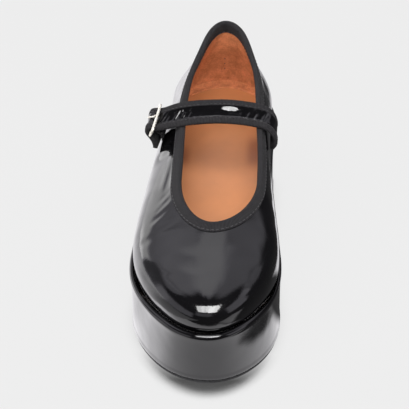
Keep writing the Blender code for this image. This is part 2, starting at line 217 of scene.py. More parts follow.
# Glow of the floor in the patent: across and along, each as from, to and softness, then radiance
FLOOR_GLOW = (
    (-5.5, 5.5, 0.2, -5.5, 5.5, 0.2, 0.05),
    (-0.085, 0.062, 0.004, -0.172, -0.050, 0.007, 0.80),
    (-0.085, 0.036, 0.005, -0.050, 0.30, 0.007, 0.80),
    (-0.085, -0.035, 0.010, -0.108, -0.058, 0.014, 0.42),
    (0.036, 0.068, 0.006, 0.17, 0.32, 0.02, 0.45),
    (-5.5, -0.085, 0.006, -0.36, 5.0, 0.05, 0.36),
    (-5.5, -0.085, 0.006, -0.055, 5.0, 0.025, 0.42),
    (-5.5, -0.085, 0.006, 0.015, 5.0, 0.035, 0.30),
    (0.068, 0.20, 0.012, -0.19, -0.125, 0.008, 0.60),
    (0.068, 0.112, 0.008, -0.005, 0.12, 0.010, 1.05))



# ---------------------------------------------------------------- settings
def size_value(name, description, default):
    return FloatProperty(name=name, description=description, default=default, unit="LENGTH")


def angle_value(name, description, degrees):
    return FloatProperty(name=name, description=description, default=math.radians(degrees),
                         subtype="ANGLE")


def colour_value(name, description, default):
    return FloatVectorProperty(name=name, description=description, default=default,
                               subtype="COLOR", size=3)


class ShoeSizes(bpy.types.PropertyGroup):
    ribbon_outside: size_value("Binding outside", "Width of the binding on the outer face", 0.0063)
    ribbon_inside: size_value("Binding inside", "Width of the binding on the lining", 0.0066)
    ribbon_thick: size_value("Binding thickness", "How far the binding stands off the upper", 0.0008)
    rib_pitch: size_value("Ribbon rib pitch", "Distance between the ribbon's ribs", 0.0009)
    stitch_pitch: size_value("Stitch pitch", "Distance between the stitches of a seam", 0.0030)
    crease: FloatProperty(
        name="Crease depth", description="Share of the listed crease depths",
        default=1.0, min=0.0, max=2.0)
    pucker: size_value("Strap pucker", "Height of the gathers along the strap", 0.00008)


class ShoeColours(bpy.types.PropertyGroup):
    patent: colour_value("Patent", "Colour under the patent's gloss", (0.0016, 0.0015, 0.0018))
    ribbon: colour_value("Ribbon", "Woven binding", (0.024, 0.0225, 0.0245))
    sock: colour_value("Sock", "Smooth leather of the insole and side linings", (0.48, 0.185, 0.066))
    suede: colour_value("Suede", "Rough lining round the heel", (0.50, 0.185, 0.080))
    rubber: colour_value("Rubber", "Outsole", (0.018, 0.018, 0.019))
    metal: colour_value("Metal", "Buckle", (0.97, 0.93, 0.84))
    floor: colour_value("Floor", "Plain pale floor", (0.86, 0.86, 0.86))


class ShoeStage(bpy.types.PropertyGroup):
    azimuth: angle_value("Azimuth", "Camera's turn towards the medial side", 3.56)
    elevation: angle_value("Elevation", "Camera's height above the horizon", 36.1)
    roll: angle_value("Roll", "Camera's roll", 0.87)
    distance: size_value("Distance", "From the middle of the shoe to the camera", 1.6)
    lens: FloatProperty(
        name="Lens", description="Focal length in millimetres", default=228.0)
    key: FloatProperty(
        name="Softbox", description="Brightness of the softbox above the toe", default=9.5)
    fill: FloatProperty(
        name="Fill", description="Brightness of the broad light on the lining", default=4.6)


# ---------------------------------------------------------------- the last's functions
def read(rows, column, x):
    """Value of one column at x: a natural cubic spline through the rows."""
    table = np.array(rows, dtype=float)
    xs, ys = table[:, 0], table[:, column]
    count = len(xs)
    step = np.diff(xs)
    system, load = np.eye(count), np.zeros(count)
    for k in range(1, count - 1):
        system[k, k - 1:k + 2] = step[k - 1], 2 * (step[k - 1] + step[k]), step[k]
        load[k] = 6 * ((ys[k + 1] - ys[k]) / step[k] - (ys[k] - ys[k - 1]) / step[k - 1])
    bend = np.linalg.solve(system, load)
    x = np.clip(np.asarray(x, dtype=float), xs[0], xs[-1])
    i = np.clip(np.searchsorted(xs, x, side="right") - 1, 0, count - 2)
    a, b = (xs[i + 1] - x) / step[i], (x - xs[i]) / step[i]
    return (a * ys[i] + b * ys[i + 1]
            + ((a ** 3 - a) * bend[i] + (b ** 3 - b) * bend[i + 1]) * step[i] ** 2 / 6)


def read_point(rows, step):
    """Across, along and height of a listed path at each step."""
    return np.stack([read(rows, column, step) for column in (1, 2, 3)], axis=-1)


def rounded_ends(along, length, heel, toe, power):
    back = np.clip(1 - along / heel, 0, 1)
    front = np.clip((along - length + toe) / toe, 0, 1)
    return np.sqrt(1 - back ** 2) * (1 - front ** power) ** (1 / power)


def seat(along):
    return read(FOOT_ROWS, SEAT, along)


def ground(along):
    t = np.clip((along - SPRING_START) / (LENGTH - SPRING_START), 0, 1)
    return TOE_SPRING * t ** 2


def raised(flat, level, lift):
    """Flat points lifted above the level of the seat or of the ground."""
    return np.concatenate([flat, (level(flat[..., 1]) + lift)[..., None]], axis=-1)


def turns(count):
    return np.arange(count) / count


def side_and_share(turn):
    """A turn of 0 is the heel, 0.5 the toe; medial first, then lateral."""
    turn = np.mod(turn, 1.0)
    share = np.where(turn <= 0.5, 2 * turn, 2 - 2 * turn)
    return np.where(turn <= 0.5, 1.0, -1.0), (1 - np.cos(math.pi * share)) / 2


def by_side(rows, medial, lateral, side, x):
    return np.where(side > 0, read(rows, medial, x), read(rows, lateral, x))


def rim(turn):
    side, share = side_and_share(turn)
    along = LENGTH * share
    half = by_side(FOOT_ROWS, MEDIAL, LATERAL, side, along)
    half = half * rounded_ends(along, LENGTH, HEEL_ROUND, TOE_ROUND, TOE_POWER)
    return np.stack([side * half, along], axis=-1)


def outline(turn, inset):
    """The rim moved inwards, square to itself."""
    turn = np.asarray(turn, dtype=float)
    run = unit(rim(turn + 1e-4) - rim(turn - 1e-4))
    inward = np.stack([-run[..., 1], run[..., 0]], axis=-1)
    return rim(turn) + inward * np.asarray(inset)[..., None]


def topline(along, side):
    half = by_side(TOPLINE_ROWS, MEDIAL, LATERAL, side, along)
    half = half * rounded_ends(along - COLLAR_BACK, THROAT_END - COLLAR_BACK,
                               COLLAR_ROUND, THROAT_ROUND, THROAT_POWER)
    return np.stack([side * half, along, read(TOPLINE_ROWS, HEIGHT, along)], axis=-1)


def tuck_inset(margin, lift):
    """Inset of the upper's outer face between its lower edge and its widest level."""
    return margin + (FEATHER_INSET - margin) * (1 - lift / WIDEST_LIFT) ** TUCK_POWER


def margin_at(turn):
    side, share = side_and_share(turn)
    return by_side(FOOT_ROWS, MARGIN_MEDIAL, MARGIN_LATERAL, side, LENGTH * share)


def sock_edge(turn):
    """Inset at which the sock meets the lining."""
    return tuck_inset(margin_at(turn), INSOLE_TOP + 0.001) + WALL + 0.0004


def upper_rib(turn, rise):
    """Outer face of the upper. Rise 0 to 1 is the tuck under, 1 to 2 the wall to the topline."""
    turn, rise = np.broadcast_arrays(np.asarray(turn, dtype=float), np.asarray(rise, dtype=float))
    side, share = side_and_share(turn)
    station = LENGTH * share
    margin = margin_at(turn)
    lift = FEATHER_LIFT + (WIDEST_LIFT - FEATHER_LIFT) * np.clip(rise, 0, 1)
    low = raised(outline(turn, tuck_inset(margin, lift)), seat, lift)
    foot = raised(outline(turn, margin), seat, WIDEST_LIFT)
    top = topline(read(RIB_ROWS, TOP_ALONG, station), side)
    toward = top - foot
    toward[..., 2] = 0
    slope = np.radians(read(RIB_ROWS, TOP_SLOPE, station))[..., None]
    up = np.array([0.0, 0.0, 1.0])
    lean = unit(toward) * np.cos(slope) + up * np.sin(slope)
    pull_a = foot + up * read(RIB_ROWS, FOOT_PULL, station)[..., None]
    pull_b = top - lean * read(RIB_ROWS, TOP_PULL, station)[..., None]
    t = np.clip(rise - 1, 0, 1)[..., None]
    high = (1 - t) ** 3 * foot + 3 * (1 - t) ** 2 * t * pull_a \
        + 3 * (1 - t) * t * t * pull_b + t ** 3 * top
    return np.where(rise[..., None] < 1, low, high)


def unit(vectors):
    return vectors / np.maximum(np.linalg.norm(vectors, axis=-1, keepdims=True), 1e-12)


RIM_ACROSS = rim(turns(720))[:, 0]
CENTRE = (RIM_ACROSS.max() + RIM_ACROSS.min()) / 2


def place(points):
    """Shoe coordinates to X, Y, Z."""
    points = np.asarray(points, dtype=float)
    return np.stack([points[..., 0] - CENTRE, HEEL_Y - points[..., 1], points[..., 2]], axis=-1)


def upper_face(turn, rise):
    """Points of the upper's outer face with their outward normals and upward directions."""
    turn, rise = np.broadcast_arrays(np.asarray(turn, dtype=float), np.asarray(rise, dtype=float))
    small = 2e-4
    round_it = upper_rib(turn + small, rise) - upper_rib(turn - small, rise)
    above, below = np.clip(rise + small, 0, 2), np.clip(rise - small, 0, 2)
    upward = upper_rib(turn, above) - upper_rib(turn, below)
    return upper_rib(turn, rise), unit(np.cross(round_it, upward)), unit(upward)


def run_length(points):
    """Distance covered so far along the first axis of points."""
    steps = np.linalg.norm(np.diff(points, axis=0), axis=-1)
    return np.concatenate([np.zeros((1, *steps.shape[1:])), np.cumsum(steps, axis=0)])


def rise_below(turn, drops):
    """Rise at each drop below the topline, measured along the rib; rows are drops."""
    rises = np.linspace(2.0, 1.0, 81)
    length = run_length(upper_rib(turn[None, :], rises[:, None]))
    return np.stack([np.interp(drops, length[:, k], rises) for k in range(len(turn))], axis=1)


def rows_below(turn, drops, offsets):
    """Rows round the shoe at drops below the topline, standing off the upper's outer face."""
    for rise, offset in zip(rise_below(turn, np.array(drops)), offsets):
        points, out, _ = upper_face(turn, rise)
        yield points + out * offset


def sole_sheet(inset, columns, rows):
    """Flat points inside the outline, closer at its sides, and how far across each row lies."""
    share = np.linspace(0.012, 0.988, columns)
    medial, lateral = (outline(turn, inset(turn)) for turn in (share / 2, 1 - share / 2))
    across = np.sin(np.linspace(-math.pi / 2, math.pi / 2, rows))[:, None]
    return (medial + lateral) / 2 + (medial - lateral) / 2 * across[..., None], across


def ripples(points):
    """Slow waves of the leather over its form."""
    wave = np.zeros(points.shape[:-1])
    for *rates, phase, height in RIPPLE_ROWS:
        wave += height * np.sin(2 * math.pi * (points @ np.array(rates)) + phase)
    return wave


def creases(points, drop, share):
    """Troughs with a low ridge beside each, where the shoe bends in walking."""
    relief = np.zeros(points.shape[:-1])
    for side, along_a, drop_a, along_b, drop_b, width, depth in CREASE_ROWS:
        start, run = np.array([along_a, drop_a]), np.array([along_b - along_a, drop_b - drop_a])
        size = np.linalg.norm(run)
        offset = np.stack([points[..., 1], drop], axis=-1) - start
        t = offset @ run / size ** 2
        across = (offset[..., 0] * run[1] - offset[..., 1] * run[0]) / size / width
        fade = np.exp(-(2 * t - 1) ** 4 * 1.6) * np.clip(side * points[..., 0] / 0.010, 0, 1)
        relief -= fade * depth * share * (np.exp(-across ** 2) - 0.6 * np.exp(-(across - 1.5) ** 2))
    return relief


def ribbon_frame(step):
    """Centre, direction across and outward normal of the strap at each step."""
    run = unit(read_point(STRAP_ROWS, step + 0.02) - read_point(STRAP_ROWS, step - 0.02))
    tilt, sweep = (np.radians(read(STRAP_ROWS, column, step)) for column in (TILT, SWEEP))
    wide = [np.sin(sweep), np.cos(sweep) * np.cos(tilt), -np.cos(sweep) * np.sin(tilt)]
    wide = np.stack(wide, axis=-1)
    return read_point(STRAP_ROWS, step), wide, unit(np.cross(wide, run))


def strap_section(steps, across, lift):
    """Points of the strap: across is in half widths, lift from the middle of its thickness."""
    centre, wide, out = ribbon_frame(steps)
    half = STRAP_WIDTH / 2 * read(STRAP_ROWS, SHARE, steps)
    return centre + wide * (half * across)[..., None] + out * np.asarray(lift)[..., None]


# ---------------------------------------------------------------- meshes
def add_object(name, data):
    item = bpy.data.objects.new(name, data)
    bpy.context.scene.collection.objects.link(item)
    return item


def add_mesh(name, verts, faces, material):
    mesh = bpy.data.meshes.new(name)
    mesh.from_pydata(np.asarray(verts).reshape(-1, 3).tolist(), [], faces.tolist())
    mesh.materials.append(material)
    mesh.polygons.foreach_set("use_smooth", [True] * len(mesh.polygons))
    mesh.update()
    return add_object(name, mesh)


def quads(sheets, rows, columns, spans):
    """Corners of the quads of sheets whose points are listed sheet by sheet and row by row."""
    sheet, r, c = np.indices((sheets, rows - 1, spans))
    low, d = (sheet * rows + r) * columns, (c + 1) % columns
    corners = [low + c, low + d, low + columns + d, low + columns + c]
    return np.stack(corners, axis=-1).reshape(-1, 4)


def add_surface(name, grid, material, wrap=False, flip=False, uv=()):
    """Quads over a grid of points; wrap joins the last column to the first."""
    rows, columns = grid.shape[:2]
    spans = columns if wrap else columns - 1
    order = -1 if flip else 1
    item = add_mesh(name, grid, quads(1, rows, columns, spans)[:, ::order], material)
    if uv:
        uv = np.stack(np.meshgrid(*uv), axis=-1)
        r, c = np.indices((rows - 1, spans))
        corners = [uv[r, c], uv[r, c + 1], uv[r + 1, c + 1], uv[r + 1, c]]
        layer = item.data.uv_layers.new(name="thread")
        layer.data.foreach_set("uv", np.stack(corners[::order], axis=-2).reshape(-1))
    return item


def thicken(item, thickness):
    """Thickness inwards from the face."""
    item.modifiers.new("wall", "SOLIDIFY").thickness = thickness
    return item


def finish_piece(item, slot, *nodes):
    """Every piece rides on the shoe's one body."""
    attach(item, BODY)
    if nodes:
        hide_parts(*nodes)


def closed(rows):
    return np.concatenate([rows, rows[:1]])


def circle(first, second, sides):
    """Unit circle in the plane of two directions."""
    angle = 2 * math.pi * turns(sides)[:, None]
    return first[..., None, :] * np.cos(angle) + second[..., None, :] * np.sin(angle)


def along_path(path, distances, values):
    """Values at distances along a path."""
    length = run_length(path)
    return np.stack([np.interp(distances, length, column) for column in values.T], axis=-1)


def seam(name, path, normals, pitch, length, radius, material, slot):
    """A row of raised stitches along a path given in shoe coordinates."""
    path, normals = place(path), normals * np.array([1, -1, 1])
    total = run_length(path)[-1]
    count = max(1, int(total / pitch))
    middle = (np.arange(count) + 0.5) * total / count
    steps = np.array([-0.5, -0.42, -0.2, 0.2, 0.42, 0.5])
    girth = np.array([0.25, 0.8, 1.0, 1.0, 0.8, 0.25])
    sink = np.array([1.0, 0.55, 0.0, 0.0, 0.55, 1.0])
    where = middle[:, None] + steps * length
    points = along_path(path, where, path)
    out = unit(along_path(path, where, normals))
    run = unit(along_path(path, where + 1e-4, path) - along_path(path, where - 1e-4, path))
    ring = circle(unit(np.cross(run, out)), out, 6)
    verts = points[..., None, :] + ring * (radius * girth)[:, None, None] \
        - out[..., None, :] * (radius * 0.9 * sink)[:, None, None]
    finish_piece(add_mesh(name, verts, quads(count, len(steps), 6, 6), material), slot)


def wire(name, path, radius, material, node, ring=False, taper=()):
    """Round metal wire along points given in shoe coordinates."""
    curve = bpy.data.curves.new(name, "CURVE")
    curve.dimensions = "3D"
    curve.bevel_depth = radius
    curve.bevel_resolution = 5
    curve.use_fill_caps = not ring
    curve.resolution_u = 6
    spline = curve.splines.new("NURBS")
    spline.points.add(len(path) - 1)
    for point, position in zip(spline.points, place(path)):
        point.co = (*position, 1.0)
    for index, share in taper:
        spline.points[index].radius = share
    spline.order_u = 3
    spline.use_cyclic_u = ring
    spline.use_endpoint_u = not ring
    curve.materials.append(material)
    finish_piece(add_object(name, curve), "metal", node)


# ---------------------------------------------------------------- nodes
def plug(tree, socket, value):
    """Links a socket to another one, or sets its constant."""
    if isinstance(value, bpy.types.NodeSocket):
        tree.links.new(value, socket)
    else:
        socket.default_value = value


def feed(tree, node, **values):
    """Fills a node's inputs by name, and its settings where no input has that name."""
    for key, value in values.items():
        socket = node.inputs.get(key.replace("_", " "))
        if socket is None:
            setattr(node, key, value)
        else:
            plug(tree, socket, value)
    return node


def add_node(tree, kind, **values):
    return feed(tree, tree.nodes.new("ShaderNode" + kind), **values)


def new_material(name, colour, rough, **values):
    """A Principled material, its node tree and its shader."""
    material = bpy.data.materials.new(name)
    material.use_nodes = True
    tree = material.node_tree
    shader = tree.nodes["Principled BSDF"]
    return material, tree, feed(tree, shader, Base_Color=(*colour, 1.0), Roughness=rough, **values)


def coordinates(tree, kind="Object"):
    return add_node(tree, "TexCoord").outputs[kind]


def split_coordinates(tree, kind="Object"):
    return add_node(tree, "SeparateXYZ", Vector=coordinates(tree, kind)).outputs


def noise(tree, source, scale, detail=2.0, rough=0.5):
    node = add_node(tree, "TexNoise", Vector=source, Scale=scale, Detail=detail, Roughness=rough)
    return node.outputs["Fac"]


def bands(tree, source, pitch, direction, **values):
    """Waves of a given pitch: at a scale of 1 the texture repeats every 2 pi / 20 metres."""
    node = add_node(tree, "TexWave", Vector=source, Scale=2 * math.pi / 20 / pitch,
                    wave_type="BANDS", bands_direction=direction, **values)
    return node.outputs["Fac"]


def spread(tree, value, low, high, from_low=0.3, from_high=0.7, **values):
    """Remaps a range of values to another one."""
    node = add_node(tree, "MapRange", Value=value, From_Min=from_low, From_Max=from_high,
                    To_Min=low, To_Max=high, **values)
    return node.outputs["Result"]


def blend_colours(tree, factor, first, second, **values):
    node = add_node(tree, "Mix", data_type="RGBA", Factor=factor, **values)
    for socket, colour in zip(node.inputs[6:8], (first, second)):
        plug(tree, socket, colour if isinstance(colour, bpy.types.NodeSocket) else (*colour, 1.0))
    return node.outputs[2]


def scaled(colour, share):
    return tuple(min(1.0, c * share) for c in colour)


def vary(tree, shader, factor, colour, dark, light):
    """Lets the base colour run between two shares of a colour."""
    tint = blend_colours(tree, factor, scaled(colour, dark), scaled(colour, light))
    feed(tree, shader, Base_Color=tint)
    return tint


def add_bump(tree, shader, height, distance, strength, before=None):
    node = add_node(tree, "Bump", Height=height, Distance=distance, Strength=strength)
    if before is not None:
        feed(tree, node, Normal=before)
    feed(tree, shader, Normal=node.outputs["Normal"])
    return node.outputs["Normal"]


def math_node(tree, operation, *values):
    node = add_node(tree, "Math", operation=operation)
    for socket, value in zip(node.inputs, values):
        plug(tree, socket, value)
    return node.outputs[0]


def window(tree, value, low, high, soft):
    """One between two values, falling to nothing over soft edges."""
    rise = spread(tree, value, 0.0, 1.0, low - soft, low + soft, interpolation_type="SMOOTHSTEP")
    fall = spread(tree, value, 1.0, 0.0, high - soft, high + soft, interpolation_type="SMOOTHSTEP")
    return math_node(tree, "MULTIPLY", rise, fall)


def glow(tree, first, second, rows):
    """Sum of soft windows over two values: from, to and softness of each, then the strength."""
    total = 0.0
    for low, high, soft, under, over, blur, strength in rows:
        part = math_node(tree, "MULTIPLY", window(tree, first, low, high, soft),
                         window(tree, second, under, over, blur))
        total = math_node(tree, "ADD", total, math_node(tree, "MULTIPLY", part, strength))
    return total


# ---------------------------------------------------------------- materials
def patent_leather(name, colour, relief=1.0):
    """Black lacquer: deep gloss over a faint orange peel and a slow sag."""
    material, tree, shader = new_material(
        name, colour, 0.09, Specular_IOR_Level=0.55, Coat_Weight=1.0, Coat_Roughness=0.03)
    source = coordinates(tree)
    smudge = noise(tree, source, 55.0, 3.0)
    feed(tree, shader, Roughness=spread(tree, smudge, 0.06, 0.16))
    vary(tree, shader, smudge, colour, 0.7, 1.5)
    slow = add_bump(tree, shader, noise(tree, source, 60.0, 1.0), 0.0012 * relief, 0.30)
    fine = add_bump(tree, shader, noise(tree, source, 900.0, 1.0), 0.00010 * relief, 0.25, slow)
    feed(tree, shader, Coat_Normal=fine)
    return material


def woven_ribbon(name, colour, pitch):
    """Grosgrain: fine ribs across the ribbon, with a dry sheen."""
    material, tree, shader = new_material(
        name, colour, 0.85, Specular_IOR_Level=0.15, Sheen_Weight=0.04, Sheen_Roughness=0.5)
    thread = coordinates(tree, "UV")
    ribs = bands(tree, thread, pitch, "X", Distortion=0.3, Detail=0.0)
    weft = bands(tree, thread, pitch * 0.45, "Y")
    tint = vary(tree, shader, ribs, colour, 0.55, 1.25)
    cloud = noise(tree, coordinates(tree), 350.0, 3.0)
    feed(tree, shader, Base_Color=blend_colours(tree, 0.35, tint, cloud, blend_type="MULTIPLY"))
    first = add_bump(tree, shader, ribs, 0.00025, 0.9)
    add_bump(tree, shader, weft, 0.00010, 0.5, first)
    return material


def smooth_leather(name, colour, gloss, painted_shadows=()):
    """Calf lining: tight pores, soft uneven dye and, where listed, patches of painted shadow."""
    material, tree, shader = new_material(
        name, colour, gloss, Specular_IOR_Level=0.85, Coat_Weight=0.25, Coat_Roughness=0.30)
    source = coordinates(tree)
    cloud = noise(tree, source, 38.0, 4.0)
    tint = vary(tree, shader, spread(tree, cloud, 0.0, 1.0), colour, 0.86, 1.10)
    if painted_shadows:
        across, along, _ = split_coordinates(tree)
        # Painted shadow: inside the listed windows the colour is darkened to stand in for shade.
        shadow_colour = tuple(np.array(colour) * (0.5, 0.36, 0.30))
        feed(tree, shader,
             Base_Color=blend_colours(tree, glow(tree, across, along, painted_shadows), tint, shadow_colour))
    feed(tree, shader, Roughness=spread(tree, cloud, gloss - 0.06, gloss + 0.08))
    pores = add_node(tree, "TexVoronoi", Vector=source, Scale=1500.0).outputs["Distance"]
    grain = add_bump(tree, shader, pores, 0.00008, 0.35)
    add_bump(tree, shader, noise(tree, source, 90.0, 3.0), 0.0004, 0.18, grain)
    return material


def suede(name, colour):
    """Napped lining: brushed patches lighter and darker, no gloss."""
    material, tree, shader = new_material(
        name, colour, 0.95, Specular_IOR_Level=0.10, Sheen_Weight=0.35, Sheen_Roughness=0.4,
        Sheen_Tint=(*scaled(colour, 1.8), 1.0))
    source = coordinates(tree)
    patches = noise(tree, source, 150.0, 5.0, 0.65)
    fibre = noise(tree, source, 1300.0, 3.0, 0.7)
    brushed = add_node(tree, "Mix", data_type="FLOAT", Factor=0.35, A=patches, B=fibre).outputs[0]
    vary(tree, shader, spread(tree, brushed, 0.0, 1.0, 0.34, 0.66), colour, 0.60, 1.45)
    nap = add_bump(tree, shader, fibre, 0.0004, 0.8)
    add_bump(tree, shader, patches, 0.0008, 0.35, nap)
    return material


def moulded_rubber(name, colour):
    material, tree, shader = new_material(name, colour, 0.62, Specular_IOR_Level=0.35)
    source = coordinates(tree)
    grain = noise(tree, source, 700.0, 3.0)
    feed(tree, shader, Roughness=spread(tree, grain, 0.52, 0.74))
    vary(tree, shader, noise(tree, source, 40.0), colour, 0.8, 1.3)
    add_bump(tree, shader, grain, 0.00012, 0.4)
    return material


def polished_metal(name, colour):
    material, tree, shader = new_material(name, colour, 0.16, Metallic=0.55)
    wear = noise(tree, coordinates(tree), 420.0, 4.0)
    feed(tree, shader, Roughness=spread(tree, wear, 0.10, 0.26))
    vary(tree, shader, wear, colour, 0.88, 1.0)
    add_bump(tree, shader, wear, 0.00005, 0.2)
    return material


def waxed_thread(name, colour):
    material, tree, shader = new_material(name, colour, 0.42, Specular_IOR_Level=0.6)
    twist = noise(tree, coordinates(tree), 2600.0, 1.0)
    vary(tree, shader, twist, colour, 0.6, 1.5)
    add_bump(tree, shader, twist, 0.00012, 0.6)
    return material


def finishes(context):
    """The shoe's materials, made once and then found by name."""
    sizes, colours = context.scene.shoe_sizes, context.scene.shoe_colours
    makers = {
        "patent_upper": (patent_leather, colours.patent),
        "patent_platform": (patent_leather, colours.patent, 0.8),
        "patent_strap": (patent_leather, colours.patent, 1.2),
        "grosgrain": (woven_ribbon, colours.ribbon, sizes.rib_pitch),
        "sock_leather": (smooth_leather, colours.sock, 0.42, SOCK_PAINTED_SHADOWS),
        "lining_leather": (smooth_leather, scaled(colours.sock, 0.8), 0.5),
        "heel_suede": (suede, colours.suede),
        "outsole_rubber": (moulded_rubber, colours.rubber),
        "buckle_silver": (polished_metal, colours.metal),
        "black_thread": (waxed_thread, (0.030, 0.029, 0.031)),
        "dark_thread": (waxed_thread, (0.030, 0.012, 0.008)),
    }
    return {name: bpy.data.materials.get(name) or make(name, *values)
            for name, (make, *values) in makers.items()}


# ---------------------------------------------------------------- pieces
class SHOE_OT_upper(bpy.types.Operator):
    """Patent upper with its soft creases, and the quarter lining inside it"""
    bl_idname = "shoe.upper"
    bl_label = "Upper and lining"

    patent_thick = 0.0009
    lining_thick = 0.0008
    plain_edge = 0.008       # the relief fades out towards the topline over this length

    def execute(self, context):
        looks, sizes = finishes(context), context.scene.shoe_sizes
        turn = turns(400)
        rises = np.concatenate([np.linspace(0, 0.94, 9), np.linspace(1.0, 1.985, 66)])
        points, out, _ = upper_face(turn[None, :], rises[:, None])
        drop = run_length(points[::-1])[::-1]
        fade = np.clip(rises - 0.6, 0, 1)[:, None] * np.clip(drop / self.plain_edge, 0, 1)
        relief = (ripples(points) + creases(points, drop, sizes.crease)) * fade
        skin = place(points + out * relief[..., None])
        patent = add_surface("upper_patent", skin, looks["patent_upper"], wrap=True, flip=True)
        finish_piece(thicken(patent, self.patent_thick), "patent", "upper")

        points, out, _ = upper_face(turn[None, ::2], np.linspace(0.42, 1.97, 40)[:, None])
        lining = add_surface("quarter_lining", place(points - out * WALL), looks["lining_leather"],
                             wrap=True)
        finish_piece(thicken(lining, self.lining_thick), "sock")
        return {"FINISHED"}


class SHOE_OT_heel_lining(bpy.types.Operator):
    """Suede grip round the inside of the heel, turned onto the insole, and its tacking stitches"""
    bl_idname = "shoe.heel_lining"
    bl_label = "Heel lining"

    half_span = 0.155        # turn at which the suede ends on each side
    turned_in = 0.0070       # how far it lies on the insole at the back of the heel
    suede_thick = 0.0004
    seam_stand = 0.0007      # by which the seams stand off the upper's inner face
    # name, turn, rise from and to, points, pitch, length and radius of the stitches
    seams = (("heel_seam_medial", 0.148, 0.90, 1.75, 40, 0.0030, 0.0022, 0.00030),
             ("heel_seam_lateral", -0.148, 0.90, 1.75, 40, 0.0030, 0.0022, 0.00030),
             ("heel_tacks", -0.004, 1.12, 1.42, 12, 0.0042, 0.0011, 0.00035))

    def execute(self, context):
        looks = finishes(context)
        turn = np.linspace(-self.half_span, self.half_span, 121)
        inside = self.half_span - np.abs(turn)
        reach = self.turned_in * np.clip(inside / 0.12, 0, 1) ** 0.5
        rows = []
        for share in (1.0, 0.85, 0.7, 0.5, 0.3, 0.15):
            lift = 0.0014 + 0.0007 * np.clip((1 - share) / 0.15, 0, 1) \
                + 0.0003 * np.clip(np.abs(turn) / 0.05, 0, 1) + 0.0015 * (1 - share) ** 4
            flat = outline(turn, sock_edge(turn) + reach * share)
            rows.append(raised(flat, seat, INSOLE_TOP + lift))
        points, out, _ = upper_face(turn[None, :], np.linspace(0.80, 1.96, 42)[:, None])
        edge = np.clip(inside / 0.004, 0, 1)[:, None]
        rows.extend(points - out * (WALL + 0.0001 + 0.0006 * edge))
        lining = add_surface("heel_lining", place(rows), looks["heel_suede"])
        finish_piece(thicken(lining, self.suede_thick), "sock")

        for name, turn, low, high, count, pitch, length, radius in self.seams:
            points, out, _ = upper_face(turn, np.linspace(low, high, count))
            seam(name, points - out * (WALL + self.seam_stand), -out, pitch, length, radius,
                 looks["dark_thread"], "sock")
        return {"FINISHED"}


class SHOE_OT_binding(bpy.types.Operator):
    """Woven ribbon folded over the whole topline, and its rows of stitches"""
    bl_idname = "shoe.binding"
    bl_label = "Topline binding"

    hem = 0.0004             # over which the ribbon's edges turn down
    stitch_inset = 0.0010    # of the stitches from the ribbon's edges
    stitch_radius = 0.00026

    def execute(self, context):
        looks, sizes = finishes(context), context.scene.shoe_sizes
        turn, thick = turns(800), sizes.ribbon_thick
        outside, inside = sizes.ribbon_outside, sizes.ribbon_inside

        drops = [outside, outside, outside - self.hem, *outside * np.array([0.7, 0.45, 0.2, 0.0])]
        rows = [*rows_below(turn, drops, thick * np.array([0, 0.75, 1.0, 1.05, 1.08, 1.02, 1.0]))]
        top, out, up = upper_face(turn, 2.0)
        middle, reach = top - out * WALL / 2, WALL / 2 + thick
        for degrees in range(20, 180, 20):
            a = math.radians(degrees)
            rows.append(middle + (out * math.cos(a) + up * math.sin(a) * 0.8) * reach)
        drops = [*inside * np.array([0.0, 0.25, 0.5, 0.75]), inside - self.hem, inside]
        stand = WALL + thick * np.array([1.0, 1.05, 1.08, 1.05, 1.0, 0.1])
        rows += rows_below(turn, drops, -stand)

        grid = place(rows)
        uv = run_length(closed(grid[3])), run_length(grid[:, 0])
        ribbon = add_surface("topline_binding", grid, looks["grosgrain"], wrap=True, flip=True, uv=uv)
        finish_piece(ribbon, "strap")

        lift = thick * 1.05
        for name, width, sign, stand in (("binding_stitches", outside, 1, lift),
                                         ("binding_stitches_inside", inside, -1, -WALL - lift)):
            rise = rise_below(turn, np.array([width - self.stitch_inset]))[0]
            points, out, _ = upper_face(turn, rise)
            seam(name, closed(points + out * stand), closed(out) * sign, sizes.stitch_pitch,
                 sizes.stitch_pitch * 0.72, self.stitch_radius, looks["black_thread"], "strap")
        return {"FINISHED"}


class SHOE_OT_sock(bpy.types.Operator):
    """Smooth leather sock over the insole"""
    bl_idname = "shoe.sock"
    bl_label = "Sock"

    sock_lift = 0.0009       # of its upper face above the insole
    cup_height = 0.0014      # by which its sides turn up
    sock_thick = 0.0008

    def execute(self, context):
        looks = finishes(context)
        flat, across = sole_sheet(sock_edge, 220, 45)
        cup = self.cup_height * np.abs(across) ** 6
        grid = place(raised(flat, seat, INSOLE_TOP + self.sock_lift + cup))
        sock = add_surface("sock", grid, looks["sock_leather"], flip=True)
        finish_piece(thicken(sock, self.sock_thick), "sock")
        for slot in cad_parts["insole"].material_slots:
            slot.material = looks["sock_leather"]
        return {"FINISHED"}


